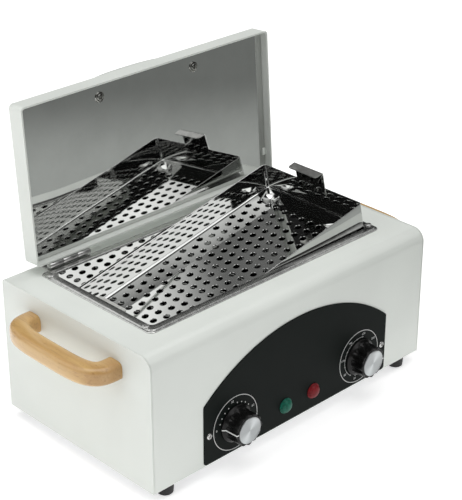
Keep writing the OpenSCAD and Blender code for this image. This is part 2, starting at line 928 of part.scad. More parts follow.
// Places of the fixed leaves' screws.
module hinge_screw_places(z) {
    for (side = [-1, 1], end = [-1, 1])
        translate([
            side * hinge_x + end * leaf_screw_pitch / 2,
            pivot_y + knuckle_r + fixed_leaf_d / 2,
            z
        ])
            children();
}

module hinge_fixed_leaves() {
    color("gainsboro")
    difference() {
        for (side = [-1, 1])
            translate([side * hinge_x, pivot_y, 0]) {
                translate([-hinge_l / 2, knuckle_r - leaf_t, top_z])
                    cube([hinge_l, fixed_leaf_d + leaf_t, leaf_t]);
                for (end = [-1, 1])
                    translate([end * (hinge_l - fixed_knuckle_l) / 2, 0, 0]) {
                        translate([-fixed_knuckle_l / 2, knuckle_r - leaf_t, top_z])
                            cube([fixed_knuckle_l, leaf_t, pivot_z - top_z]);
                        translate([-fixed_knuckle_l / 2, 0, pivot_z])
                            rotate([0, 90, 0])
                                cylinder(r = knuckle_r, h = fixed_knuckle_l);
                    }
            }
        for (side = [-1, 1])
            translate([side * hinge_x - hinge_l, pivot_y, pivot_z])
                rotate([0, 90, 0])
                    cylinder(r = pin_r + pin_fit, h = 2 * hinge_l);
        hinge_screw_places(top_z - 1)
            cylinder(r = leaf_screw_r, h = leaf_t + 2);
    }
}

module hinge_leaf_screws() {
    color("silver")
    hinge_screw_places(top_z + leaf_t)
        screw(leaf_screw_head_r, leaf_screw_r, leaf_screw_l);
}

module lid_shell() {
    color("whitesmoke")
    opened()
        difference() {
            translate([0, lid_mid, lid_low])
                linear_extrude(height = lid_h)
                    round_rect(lid_w, lid_d, lid_corner_r);
            translate([0, lid_mid, lid_low - lid_wall])
                linear_extrude(height = lid_h)
                    round_rect(lid_w - 2 * lid_wall, lid_d - 2 * lid_wall, lid_corner_r - lid_wall);
            lid_pull_places(lid_ceiling - 1)
                cylinder(r = pull_screw_r, h = lid_wall + 2);
        }
}

module lid_liner() {
    color("silver")
    opened()
        difference() {
            translate([0, lid_mid, liner_low])
                linear_extrude(height = liner_t)
                    round_rect(liner_w, liner_d, lid_corner_r - lid_wall);
            lid_pull_places(liner_low - 1)
                cylinder(r = pull_screw_r, h = liner_t + 2);
        }
}

module lid_insulation() {
    color("khaki")
    opened()
        difference() {
            translate([0, lid_mid, liner_high])
                linear_extrude(height = lid_ceiling - liner_high)
                    round_rect(liner_w, liner_d, lid_corner_r - lid_wall);
            lid_pull_places(liner_high - 1)
                cylinder(r = pull_screw_r, h = lid_h);
        }
}

// Small tabs on the lid's side walls that hold the liner.
module liner_tabs() {
    tab_l = 7;
    tab_out = 4;
    tab_t = 1;
    tab_in = 23;
    color("whitesmoke")
    opened()
        for (side = [-1, 1])
            translate([side * (lid_w / 2 - lid_wall - tab_out / 2), lid_back - tab_in, liner_low - tab_t / 2])
                cube([tab_out, tab_l, tab_t], center = true);
}

// Places of the lid handle's feet, from the hinge axis.
module lid_pull_places(z) {
    for (side = [-1, 1])
        translate([side * pull_x, pull_y, z])
            children();
}

module lid_handle() {
    color("whitesmoke")
    opened()
        difference() {
            translate([0, pull_y, lid_low + lid_h])
                rotate([90, 0, 0])
                    swept_bar(bow_path(pull_x, pull_out, pull_power), pull_w, pull_t);
            lid_pull_places(lid_low + lid_h - 1)
                cylinder(r = pull_screw_r, h = pull_out / 2 + 1);
        }
}

module lid_handle_screws() {
    cup_r = 5;
    cup_h = 1.4;
    color("silver")
    opened()
        lid_pull_places(liner_low)
            rotate([180, 0, 0]) {
                cylinder(r1 = cup_r, r2 = cup_r * 0.8, h = cup_h);
                cylinder(r = cup_r * 0.6, h = cup_h + screw_head_h / 2);
                translate([0, 0, -(lid_h - liner_depth + pull_out / 2 - 1)])
                    cylinder(r = pull_screw_r, h = lid_h - liner_depth + pull_out / 2);
            }
}

module hinge_lid_leaves() {
    color("gainsboro")
    opened()
        for (side = [-1, 1])
            translate([side * hinge_x, 0, 0])
                difference() {
                    union() {
                        translate([-hinge_l / 2, lid_back, knuckle_r / 2 + 1])
                            cube([hinge_l, leaf_t, lid_leaf_h - pivot_up - knuckle_r / 2 - 1]);
                        translate([-lid_knuckle_l / 2, lid_back, -1])
                            cube([lid_knuckle_l, leaf_t, lid_leaf_h - pivot_up]);
                        translate([-lid_knuckle_l / 2, 0, 0])
                            rotate([0, 90, 0])
                                cylinder(r = knuckle_r, h = lid_knuckle_l);
                    }
                    translate([-hinge_l, 0, 0])
                        rotate([0, 90, 0])
                            cylinder(r = pin_r, h = 2 * hinge_l);
                }
}

module hinge_pins() {
    color("silver")
    opened()
        for (side = [-1, 1])
            translate([side * hinge_x - hinge_l / 2, 0, 0])
                rotate([0, 90, 0])
                    cylinder(r = pin_r, h = hinge_l);
}

// A knob with a skirt and a fluted grip, its shaft's bore open to the back.
module knob() {
    flute_r = 2.2;
    color([0.1, 0.1, 0.1])
    difference() {
        union() {
            translate([0, 0, knob_base])
                cylinder(r = skirt_r, h = skirt_h, $fn = 72);
            translate([0, 0, grip_base])
                linear_extrude(height = grip_h)
                    difference() {
                        circle(r = grip_r, $fn = 72);
                        for (i = [0:flutes - 1])
                            rotate(i * 360 / flutes)
                                translate([grip_r + flute_r / 2, 0])
                                    circle(r = flute_r, $fn = 16);
                    }
        }
        cylinder(r = shaft_r, h = knob_bore_h);
    }
}

module knob_cap() {
    color("silver")
    translate([0, 0, cap_base])
        cylinder(r1 = cap_r, r2 = cap_r - cap_t / 2, h = cap_t, $fn = 72);
}

module shaft() {
    color("silver")
    translate([0, 0, -sheet_t - shaft_back + shaft_fit])
        cylinder(r = shaft_r, h = knob_bore_h + sheet_t + shaft_back - shaft_fit);
}

module timer_knob() {
    on_front(timer_x, dial_z)
        knob();
}

module timer_knob_cap() {
    on_front(timer_x, dial_z)
        knob_cap();
}

module timer_shaft() {
    on_front(timer_x, dial_z)
        shaft();
}

module thermostat_knob() {
    on_front(thermostat_x, dial_z)
        knob();
}

module thermostat_knob_cap() {
    on_front(thermostat_x, dial_z)
        knob_cap();
}

module thermostat_shaft() {
    on_front(thermostat_x, dial_z)
        shaft();
}

module dimple_places() {
    for (x = [-1, 1], y = [-1, 1])
        translate([x * (tray_l / 2 - dimple_in_x), y * (tray_w / 2 - dimple_in_y)])
            children();
}

// The plate's outline with its rows of holes, every other column shifted by half a pitch.
module tray_plate() {
    difference() {
        round_rect(tray_l, tray_w, tray_r);
        for (i = [0:hole_columns - 1])
            let (shift = i % 2)
            for (j = [0:hole_rows - 1 - shift])
                translate([i * hole_pitch - holes_l / 2, (j + shift / 2) * hole_pitch - holes_w / 2])
                    circle(r = hole_r, $fn = 24);
        dimple_places()
            circle(r = dimple_r);
    }
}

// A round foot pressed down from the plate: a cup with a flat bottom.
module dimple() {
    floor_r = dimple_r * 0.55;
    rotate_extrude()
        polygon([
            [0, -dimple_h], [floor_r, -dimple_h], [dimple_r, 0], [dimple_r, tray_t],
            [floor_r, tray_t - dimple_h], [0, tray_t - dimple_h]
        ]);
}

module tray() {
    color("lightgray")
    leaned()
        translate([tray_mid, chamber_y, tray_z]) {
            linear_extrude(height = tray_t)
                tray_plate();
            linear_extrude(height = tray_h)
                difference() {
                    round_rect(tray_l, tray_w, tray_r);
                    round_rect(tray_l - 2 * tray_t, tray_w - 2 * tray_t, tray_r - tray_t);
                }
            dimple_places()
                dimple();
        }
}

// Tabs that stand on the end walls and turn inwards at the top.
module tray_tabs() {
    root_h = 8;
    color("lightgray")
    leaned()
        translate([tray_mid, chamber_y, tray_z])
            for (side = [0, 180])
                rotate([0, 0, side])
                    translate([tray_l / 2 - 2 * tray_t, -tab_w / 2, 0]) {
                        translate([0, 0, tray_h - root_h])
                            cube([tray_t, tab_w, root_h + tab_h]);
                        translate([-tab_lip + tray_t, 0, tray_h + tab_h - tray_t])
                            cube([tab_lip, tab_w, tray_t]);
                    }
}

housing_wrap();
side_panel_left();
side_panel_right();
base_plate();
feet();
foot_screws();
chamber();
rim_frame();
rim_screws();
insulation();
heating_element();
heater_clamps();
thermostat();
thermostat_bulb();
timer();
terminal_block();
power_inlet();
inlet_screws();
control_panel();
control_panel_screws();
green_lens();
red_lens();
lamp_holders();
side_handle_left();
side_handle_right();
side_handle_screws();
hinge_fixed_leaves();
hinge_leaf_screws();
lid_shell();
lid_liner();
lid_insulation();
liner_tabs();
lid_handle();
lid_handle_screws();
hinge_lid_leaves();
hinge_pins();
timer_knob();
timer_knob_cap();
timer_shaft();
thermostat_knob();
thermostat_knob_cap();
thermostat_shaft();
tray();
tray_tabs();
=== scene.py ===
import json
import math

import bmesh
import bpy
import numpy as np
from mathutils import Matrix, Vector
from mathutils.geometry import delaunay_2d_cdt


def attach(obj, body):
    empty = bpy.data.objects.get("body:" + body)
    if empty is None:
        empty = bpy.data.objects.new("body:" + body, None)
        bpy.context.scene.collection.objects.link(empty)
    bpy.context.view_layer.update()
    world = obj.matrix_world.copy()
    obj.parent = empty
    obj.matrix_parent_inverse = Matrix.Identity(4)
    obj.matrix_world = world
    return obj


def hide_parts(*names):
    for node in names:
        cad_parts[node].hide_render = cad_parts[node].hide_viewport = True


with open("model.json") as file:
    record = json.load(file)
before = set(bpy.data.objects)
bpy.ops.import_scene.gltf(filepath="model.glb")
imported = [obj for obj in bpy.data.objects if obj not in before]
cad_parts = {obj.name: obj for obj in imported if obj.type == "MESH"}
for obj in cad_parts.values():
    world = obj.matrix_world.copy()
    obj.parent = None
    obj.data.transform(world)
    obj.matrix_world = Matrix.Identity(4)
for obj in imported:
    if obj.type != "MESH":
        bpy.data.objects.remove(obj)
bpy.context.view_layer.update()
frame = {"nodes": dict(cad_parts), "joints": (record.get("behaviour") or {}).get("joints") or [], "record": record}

# Lengths are in millimetres, and MM turns them into the frame's metres.
MM = 0.001
nodes = frame["nodes"]
joints = {joint["name"]: joint for joint in frame["joints"]}


# Camera

# The photograph's view, fitted to the case: compass angle, height angle and distance to the aim.
VIEW_AZIMUTH = math.radians(-44.14)
VIEW_ELEVATION = math.radians(26.72)
VIEW_DISTANCE = 1371.1
AIM = Vector((13.9, 0, 138.9))
FOCAL_PIXELS = 1511.4
LONG_SIDE_PIXELS = 500
SENSOR = 36.0


def towards(azimuth, elevation):
    """The direction of a compass angle from the front, turning to the right, and a height angle."""
    flat = math.cos(elevation)
    return Vector((math.sin(azimuth) * flat, -math.cos(azimuth) * flat, math.sin(elevation)))


def add_camera():
    """Puts the camera where the photograph was taken from, on a sphere round the aim."""
    data = bpy.data.cameras.new("camera")
    data.sensor_width = SENSOR
    data.lens = FOCAL_PIXELS * SENSOR / LONG_SIDE_PIXELS
    camera = bpy.data.objects.new("camera", data)
    bpy.context.scene.collection.objects.link(camera)
    back = towards(VIEW_AZIMUTH, VIEW_ELEVATION)
    camera.location = (AIM + back * VIEW_DISTANCE) * MM
    camera.rotation_euler = (-back).to_track_quat("-Z", "Y").to_euler()
    bpy.context.scene.camera = camera


# Shader maths

class Wire:
    """One value in a material: a socket, with the arithmetic that finishes are written in."""

    def __init__(self, tree, socket):
        self.tree = tree
        self.socket = socket

    def math(self, operation, *others):
        values = dict(enumerate((self,) + others))
        return self.tree.node("ShaderNodeMath", {"operation": operation}, values)

    def __add__(self, other):
        return self.math("ADD", other)

    def __radd__(self, other):
        return self.math("ADD", other)

    def __sub__(self, other):
        return self.math("SUBTRACT", other)

    def __rsub__(self, other):
        return self.math("MULTIPLY_ADD", -1.0, other)

    def __mul__(self, other):
        return self.math("MULTIPLY", other)

    def __rmul__(self, other):
        return self.math("MULTIPLY", other)

    def step(self, low, high):
        """0 below low, 1 above high and smooth between."""
        sockets = {"Value": self, "From Min": low, "From Max": high}
        return self.tree.node("ShaderNodeMapRange", {"interpolation_type": "SMOOTHSTEP"}, sockets)


class Tree:
    """A node tree that is filled by expressions."""

    def __init__(self, owner):
        owner.use_nodes = True
        self.tree = owner.node_tree
        self.tree.nodes.clear()

    def feed(self, socket, value):
        if isinstance(value, Wire):
            self.tree.links.new(value.socket, socket)
        elif isinstance(value, (tuple, list)) and len(value) == 3 and len(socket.default_value) == 4:
            socket.default_value = (*value, 1.0)
        else:
            socket.default_value = value

    def node(self, kind, settings=None, sockets=None, out=0):
        """Any node: its type, its settings, which are set first, and its sockets' values or links."""
        made = self.tree.nodes.new(kind)
        for name, value in (settings or {}).items():
            setattr(made, name, value)
        for name, value in (sockets or {}).items():
            self.feed(made.inputs[name], value)
        return Wire(self, made.outputs[out])

    def end(self, kind, socket, surface):
        """The tree's output node."""
        made = self.tree.nodes.new(kind)
        self.tree.links.new(surface, made.inputs[socket])

    def place(self, scale=(1, 1, 1), turn=(0, 0, 0)):
        """Object coordinates in metres, turned about the axes in degrees and scaled."""
        coordinate = self.node("ShaderNodeTexCoord", out=3)
        sockets = {"Vector": coordinate, "Scale": scale, "Rotation": tuple(math.radians(a) for a in turn)}
        return self.node("ShaderNodeMapping", {"vector_type": "POINT"}, sockets)

    def noise(self, at, scale, detail=3.0, rough=0.5, distort=0.0):
        sockets = {"Vector": at, "Scale": scale, "Detail": detail, "Roughness": rough, "Distortion": distort}
        return self.node("ShaderNodeTexNoise", None, sockets)

    def blend(self, factor, first, second):
        """A colour between first and second."""
        return self.node("ShaderNodeMix", {"data_type": "RGBA"}, {0: factor, 6: first, 7: second}, out=2)

    def split(self, vector):
        return [self.node("ShaderNodeSeparateXYZ", None, {0: vector}, out=axis) for axis in range(3)]


class Finish(Tree):
    """One material on the Principled shader."""

    SOCKETS = {
        "base": "Base Color", "rough": "Roughness", "metal": "Metallic", "normal": "Normal",
        "coat": "Coat Weight", "coat_rough": "Coat Roughness", "specular": "Specular IOR Level",
        "glow": "Emission Color", "glow_power": "Emission Strength",
    }

    def __init__(self, name):
        self.material = bpy.data.materials.new(name)
        super().__init__(self.material)
        self.shader = self.tree.nodes.new("ShaderNodeBsdfPrincipled")
        self.end("ShaderNodeOutputMaterial", "Surface", self.shader.outputs[0])

    def bump(self, height, depth, strength=1.0):
        """Relief: a height from 0 to 1 that stands for a depth in millimetres."""
        sockets = {"Height": height, "Distance": depth * MM, "Strength": strength}
        return self.node("ShaderNodeBump", None, sockets)

    def set(self, **values):
        for name, value in values.items():
            self.feed(self.shader.inputs[self.SOCKETS[name]], value)
        return self.material


# Finishes

def enamel(name, tint):
    """White stoved enamel on sheet: fine orange peel, slow waves and a little uneven gloss."""
    f = Finish(name)
    at = f.place()
    cloud = f.noise(at, 14.0, 2.0)
    peel = f.noise(at, 900.0, 2.0)
    wave = f.noise(at, 9.0, 1.0)
    smudge = f.noise(at, 45.0, 4.0, 0.6)
    dark = tuple(0.965 * c for c in tint)
    return f.set(
        base=f.blend(cloud.step(0.35, 0.7), dark, tint),
        rough=0.38 + 0.1 * smudge,
        normal=f.bump(0.02 * peel + wave, 0.25, 0.5),
        specular=0.4,
    )


def mirror(name, tint, rough, wave_depth, turn=(0, 0, 0)):
    """Bright annealed stainless sheet: slow waves from pressing, fine rolling lines and hazy patches."""
    f = Finish(name)
    at = f.place(turn=turn)
    wave = f.noise(at, 11.0, 1.0)
    line = f.noise(f.place(scale=(3.0, 600.0, 600.0), turn=turn), 1.0, 2.0)
    haze = f.noise(at, 30.0, 4.0, 0.65)
    across = (turn[0], turn[1], turn[2] + 24)
    scratch = f.noise(f.place(scale=(18.0, 900.0, 900.0), turn=across), 1.0, 0.0).step(0.74, 0.8)
    shade = tuple(0.93 * c for c in tint)
    return f.set(
        base=f.blend(haze.step(0.3, 0.75), tint, shade),
        metal=1.0,
        rough=rough + 0.03 * haze.step(0.45, 0.8) + 0.04 * scratch + 0.015 * line,
        normal=f.bump(wave + 0.0004 * line, wave_depth, 1.0),
    )


def plated(name, tint, rough):
    """Plated or plain bright metal for small fittings: cloudy plating and tiny pits."""
    f = Finish(name)
    at = f.place()
    cloud = f.noise(at, 220.0, 3.0)
    pit = f.noise(at, 1400.0, 1.0).step(0.62, 0.75)
    shade = tuple(0.8 * c for c in tint)
    return f.set(
        base=f.blend(cloud.step(0.3, 0.75), shade, tint),
        metal=1.0,
        rough=rough + 0.15 * cloud,
        normal=f.bump(cloud - 0.3 * pit, 0.03, 0.6),
    )


def spun(name, tint, left, right):
    """Spun aluminium on two knobs: fine rings round each axis, and a painted highlight: bright and dark sectors by
    angle round each axis, as a bow-tie.
    """
    f = Finish(name)
    at = f.place()
    x, y, z = f.split(at)
    is_right = x.math("GREATER_THAN", 0.0)
    across = x - (is_right * (right[0] - left[0]) + left[0])
    up = z - left[2]
    radius = (across * across + up * up).math("SQRT")
    angle = up.math("ARCTAN2", across)
    # Painted highlight: a bow-tie of bright sectors by angle round each knob's axis, standing in for the spun
    # metal's reflection.
    painted_highlight_fan = 0.5 + 0.5 * (2.0 * angle - 1.9).math("COSINE")
    ring = f.noise(f.node("ShaderNodeCombineXYZ", None, {0: radius * 1500.0}), 1.0, 3.0, 0.7)
    stain = f.noise(at, 160.0, 3.0)
    dark, light = tuple(0.62 * c for c in tint), tuple(1.22 * c for c in tint)
    return f.set(
        # The colour mixes the painted highlight with the fine rings' own tone.
        base=f.blend(0.65 * painted_highlight_fan.math("POWER", 3.0) + 0.35 * ring, dark, light),
        metal=1.0,
        rough=0.24 + 0.1 * stain,
        normal=f.bump(ring, 0.06, 0.9),
    )


def moulded(name, tint, rough, grain_scale=700.0, grain_depth=0.04, coat=0.0, dust=0.008, specular=0.5):
    """Moulded plastic, rubber or printed plate: a fine grain, faint dust and patches of gloss."""
    f = Finish(name)
    at = f.place()
    grain = f.noise(at, grain_scale, 2.0)
    patch = f.noise(at, 60.0, 4.0, 0.6)
    dusty = tuple(c + dust for c in tint)
    return f.set(
        base=f.blend(patch.step(0.4, 0.8), tint, dusty),
        rough=rough + 0.12 * patch,
        normal=f.bump(grain, grain_depth, 0.5),
        coat=coat, coat_rough=0.15, specular=specular,
    )


def lamp_plastic(name, tint, glow):
    """Tinted lens plastic: deep colour, cloudy inside and a soft inner light."""
    f = Finish(name)
    at = f.place()
    rib = f.noise(at, 420.0, 2.0)
    deep = tuple(0.5 * c for c in tint)
    return f.set(
        base=f.blend(rib.step(0.3, 0.7), deep, tint),
        rough=0.4 + 0.1 * rib,
        normal=f.bump(rib, 0.15, 0.4),
        glow=glow, glow_power=0.05, specular=0.25,
    )


def wood(name):
    """Light beech under clear varnish: straight grain along the handle, flecks and darker streaks, and painted
    shade that darkens both ends.
    """
    f = Finish(name)
    pale, mid, deep = (0.64, 0.41, 0.155), (0.52, 0.3, 0.1), (0.3, 0.14, 0.04)
    band = f.noise(f.place(scale=(1.0, 0.09, 1.0)), 95.0, 4.0, 0.6, 0.5)
    streak = f.noise(f.place(scale=(1.0, 0.035, 1.0)), 420.0, 3.0, 0.6)
    fleck = f.noise(f.place(scale=(1.0, 0.16, 1.0)), 1300.0, 1.0).step(0.62, 0.74)
    body = f.blend(band.step(0.3, 0.72), pale, mid)
    lined = f.blend(0.55 * streak.step(0.5, 0.75), body, deep)
    # Painted shade: the colour darkens towards the handle's feet, more than 42 mm from the case's middle along Y.
    ends = f.split(f.place())[1].math("ABSOLUTE").step(0.042, 0.066)
    return f.set(
        # The wood's own flecks and the painted shade at the ends both mix in the deep colour.
        base=f.blend(0.35 * fleck + 0.4 * ends, lined, deep),
        rough=0.32 + 0.12 * streak,
        normal=f.bump(streak, 0.05, 0.35),
        coat=0.7, coat_rough=0.1,
    )


def wool(name):
    """Compressed mineral wool: matted fibres in clumps."""
    f = Finish(name)
    fibre = f.noise(f.place(scale=(1.0, 4.0, 9.0)), 260.0, 5.0, 0.75, 1.5)
    clump = f.noise(f.place(), 70.0, 3.0)
    return f.set(
        base=f.blend(fibre.step(0.3, 0.7), (0.42, 0.36, 0.2), (0.72, 0.66, 0.46)),
        rough=0.85 + 0.1 * clump,
        normal=f.bump(fibre + clump, 0.8, 0.8),
    )


def studio_paper(name):
    """Pale studio paper that glows a little, with painted shade that greys it far out to the object's front right.

    The painted shade follows metres along the floor in that direction: 0.666 x - 0.745 y.
    """
    f = Finish(name)
    at = f.place()
    across, back, height = f.split(at)
    beyond = 0.666 * across - 0.745 * back
    # Painted shade: two smooth steps take the paper's colour and glow down to grey far to the front right, as a
    # large soft flag shadow.
    near, far = beyond.step(0.26, 0.4), beyond.step(0.56, 1.0)
    fleck = f.noise(at, 300.0, 2.0)
    grey = f.blend(far, (0.43, 0.45, 0.43), (0.19, 0.2, 0.19))
    glow = f.blend(far, (0.1, 0.1, 0.1), (0.04, 0.04, 0.04))
    return f.set(
        base=f.blend(near, (0.86, 0.86, 0.86), grey),
        rough=0.9 + 0.05 * fleck,
        glow=f.blend(near, (1.0, 1.0, 1.0), glow), glow_power=0.46,
        specular=0.1,
    )


WHITE = (0.778, 0.81, 0.768)
STEEL = (0.64, 0.645, 0.635)
TRAY_LEAN = 12.29

timer_axis, thermostat_axis = joints["timer_turn"]["pos_m"], joints["thermostat_turn"]["pos_m"]

# The finish of each of the record's material slots.
finishes = {
    "white_paint": enamel("white_paint", WHITE),
    "zinc_sheet": plated("zinc_sheet", (0.6, 0.61, 0.62), 0.34),
    "foot_rubber": moulded("foot_rubber", (0.012, 0.012, 0.012), 0.55, 500.0, 0.08),
    "screw_steel": plated("screw_steel", (0.62, 0.62, 0.61), 0.14),
    "mirror_steel": mirror("mirror_steel", STEEL, 0.012, 0.25),
    "tray_steel": mirror("tray_steel", (0.61, 0.615, 0.605), 0.03, 0.25, turn=(0, TRAY_LEAN, 0)),
    "hinge_steel": plated("hinge_steel", (0.66, 0.66, 0.65), 0.22),
    "mineral_wool": wool("mineral_wool"),
    "heater_steel": plated("heater_steel", (0.2, 0.19, 0.18), 0.45),
    "copper": plated("copper", (0.72, 0.4, 0.26), 0.25),
    "moulded_plastic": moulded("moulded_plastic", (0.74, 0.71, 0.6), 0.42),
    "white_plastic": moulded("white_plastic", WHITE, 0.25, 700.0, 0.03, 0.4),
    "black_plastic": moulded(
        "black_plastic", (0.004, 0.004, 0.004), 0.2, 800.0, 0.03, dust=0.001, specular=0.25,
    ),
    "black_panel": moulded(
        "black_panel", (0.005, 0.0075, 0.0065), 0.55, 1100.0, 0.05, dust=0.001, specular=0.1,
    ),
    "green_lens": lamp_plastic("green_lens", (0.005, 0.11, 0.07), (0.0, 0.3, 0.2)),
    "red_lens": lamp_plastic("red_lens", (0.19, 0.008, 0.012), (0.5, 0.0, 0.01)),
    "varnished_wood": wood("varnished_wood"),
    "spun_aluminium": spun("spun_aluminium", (0.47, 0.49, 0.495), timer_axis, thermostat_axis),
}

# Finishes of single pieces, where the slot's own isn't the right one.
trim_steel = plated("trim_steel", (0.7, 0.705, 0.69), 0.16)
# Painted shade: the lid's cup screws get a plating tint far darker than bright nickel, so they read as dark cups.
shade_darkened_nickel = plated("shade_darkened_nickel", (0.36, 0.36, 0.34), 0.12)
satin_steel = plated("satin_steel", (0.62, 0.62, 0.6), 0.3)
print_white = moulded("print_white", (0.66, 0.67, 0.66), 0.5, 900.0, 0.02)
pointer_white = moulded("pointer_white", (0.78, 0.79, 0.78), 0.4, 900.0, 0.02)


# Places and shapes

class Place:
    """A local frame on the object: its origin, and its X and Z axes. Local points are in millimetres."""

    def __init__(self, origin, x, z):
        x, z = np.array(x, float), np.array(z, float)
        z = z / np.linalg.norm(z)
        x = x - z * (x @ z)
        x = x / np.linalg.norm(x)
        self.origin = np.array(origin, float)
        self.axes = np.array([x, np.cross(z, x), z])

    def world(self, points):
        """Local points as points of the object, in millimetres."""
        return np.asarray(points, float) @ self.axes + self.origin

    def box(self, node):
        """The lowest and highest local coordinates of a node."""
        mesh = nodes[node].data
        flat = np.empty(3 * len(mesh.vertices))
        mesh.vertices.foreach_get("co", flat)
        local = (flat.reshape(-1, 3) / MM - self.origin) @ self.axes.T
        return local.min(axis=0), local.max(axis=0)

    def moved(self, point):
        """The same axes about another local point."""
        return Place(self.world(point), self.axes[0], self.axes[2])


def joint_place(name, x, z):
    return Place(np.array(joints[name]["pos_m"]) / MM, x, z)


# The bench, the case's front and back, the lid's outside and inside, and the leaning tray.
BENCH = Place((0, 0, 0), (1, 0, 0), (0, 0, 1))
case_low, case_high = BENCH.box("housing_wrap")
FRONT = Place((0, case_low[1], 0), (1, 0, 0), (0, -1, 0))
BACK = Place((0, case_high[1], 0), (-1, 0, 0), (0, 1, 0))
opening = math.radians(joints["lid_hinge"]["range_deg"][1])
LID = joint_place("lid_hinge", (1, 0, 0), (0, math.sin(opening), math.cos(opening)))
LID_FACE = joint_place("lid_hinge", (-1, 0, 0), (0, -math.sin(opening), -math.cos(opening)))
lean = math.radians(TRAY_LEAN)
TRAY = joint_place("tray_tilt", (math.cos(lean), 0, math.sin(lean)), (-math.sin(lean), 0, math.cos(lean)))


def grid_faces(rows, columns, closed_rows, closed_columns):
    """Quads of a grid of points; a closed direction runs on from its last line to its first."""
    r = np.arange(rows if closed_rows else rows - 1)[:, None]
    c = np.arange(columns if closed_columns else columns - 1)[None, :]
    r_next, c_next = (r + 1) % rows, (c + 1) % columns
    corners = (r * columns + c, r * columns + c_next, r_next * columns + c_next, r_next * columns + c)
    return np.stack(np.broadcast_arrays(*corners), axis=-1).reshape(-1, 4)


class Shape:
    """Surfaces gathered for one piece, in a place's millimetres."""

    def __init__(self, place=BENCH):
        self.place = place
        self.points = []
        self.faces = []
        self.count = 0

    def add(self, points, faces, place=None):
        points = (place or self.place).world(np.asarray(points).reshape(-1, 3))
        self.points.append(points)
        self.faces += [[corner + self.count for corner in face] for face in faces]
        self.count += len(points)

    def grid(self, points, closed_rows=False, closed_columns=True, ends=False, place=None):
        """A grid of points as a skin; ends closes its first and last row with a face each."""
        rows, columns = points.shape[:2]
        faces = grid_faces(rows, columns, closed_rows, closed_columns).tolist()
        if ends:
            faces += [list(range(columns)), list(range((rows - 1) * columns, rows * columns))]
        self.add(points, faces, place)

    def make(self, name, body, slot, finish=None, replaces=(), crease=38):
        """Merges what meets, turns every face outwards, shades it and hangs it on its body."""
        mesh = bpy.data.meshes.new(name)
        mesh.from_pydata((np.concatenate(self.points) * MM).tolist(), [], self.faces)
        work = bmesh.new()
        work.from_mesh(mesh)
        bmesh.ops.remove_doubles(work, verts=work.verts, dist=0.002 * MM)
        bmesh.ops.dissolve_degenerate(work, edges=work.edges, dist=0.0005 * MM)
        bmesh.ops.recalc_face_normals(work, faces=work.faces)
        work.to_mesh(mesh)
        work.free()
        mesh.shade_smooth()
        mesh.set_sharp_from_angle(angle=math.radians(crease))
        mesh.materials.append(finish or finishes[slot])
        piece = bpy.data.objects.new(name, mesh)
        bpy.context.scene.collection.objects.link(piece)
        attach(piece, body)
        if replaces:
            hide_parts(*replaces)
        return piece


def arc(center, radius, start, end, count=5):
    """Points of an arc from one angle to another, in degrees."""
    a = np.radians(np.linspace(start, end, count))
    return np.stack([center[0] + radius * np.cos(a), center[1] + radius * np.sin(a)], axis=-1)


def revolve(profile, count=96):
    """Turns a profile of radius and height about Z: point = (r cos a, r sin a, h)."""
    profile = np.array(profile, float)
    a = np.arange(count) * 2 * math.pi / count
    r, h = profile[:, :1], profile[:, 1:]
    return np.stack([r * np.cos(a), r * np.sin(a), h + 0 * a], axis=-1)


def flat_at(points, height):
    return np.concatenate([points, np.full(points.shape[:-1] + (1,), height)], axis=-1)


def round_loop(width, depth, radius, count=8):
    """A rectangle with round corners, each an arc of count points."""
    x, y = width / 2 - radius, depth / 2 - radius
    middles = [(x, y), (-x, y), (-x, -y), (x, -y)]
    return np.concatenate([arc(m, radius, 90 * i, 90 * i + 90, count) for i, m in enumerate(middles)])


def swept_loop(width, depth, profile, count=8):
    """Carries a profile of inset, height and corner radius round a rectangle."""
    return np.stack([
        flat_at(round_loop(width - 2 * inset, depth - 2 * inset, radius, count), height)
        for inset, height, radius in profile
    ])


def swept_bar(path, normals, width, thickness, power=0.55, count=40):
    """Carries a squarish oval along a path in the XY plane.

    The oval is thickness / 2 * |cos|^power along the path's normal and width / 2 * |sin|^power along Z.
    """
    a = np.arange(count) * 2 * math.pi / count
    u = np.sign(np.cos(a)) * np.abs(np.cos(a)) ** power * thickness / 2
    v = np.sign(np.sin(a)) * np.abs(np.sin(a)) ** power * width / 2
    plane = path[:, None, :] + normals[:, None, :] * u[None, :, None]
    return np.concatenate([plane, np.broadcast_to(v[None, :, None], plane.shape[:2] + (1,))], axis=-1)


def bow_path(half, out, power, count=72):
    """A squarish half oval: (-half |cos|^power, out sin^power), with its outward normals."""
    a = math.pi / 2 * (1 - np.cos(np.linspace(0, math.pi, count)))
    x = -half * np.sign(np.cos(a)) * np.abs(np.cos(a)) ** power
    path = np.stack([x, out * np.abs(np.sin(a)) ** power], axis=-1)
    slope = np.gradient(path, axis=0)
    slope[0], slope[-1] = (0, 1), (0, -1)
    slope /= np.linalg.norm(slope, axis=1)[:, None]
    return path, np.stack([-slope[:, 1], slope[:, 0]], axis=-1)


def circles(centres, radius, sides):
    """Rings of points round many centres: centre + radius (cos a, sin a)."""
    a = np.arange(sides) * 2 * math.pi / sides
    return np.asarray(centres)[:, None, :] + radius * np.stack([np.cos(a), np.sin(a)], axis=-1)[None]


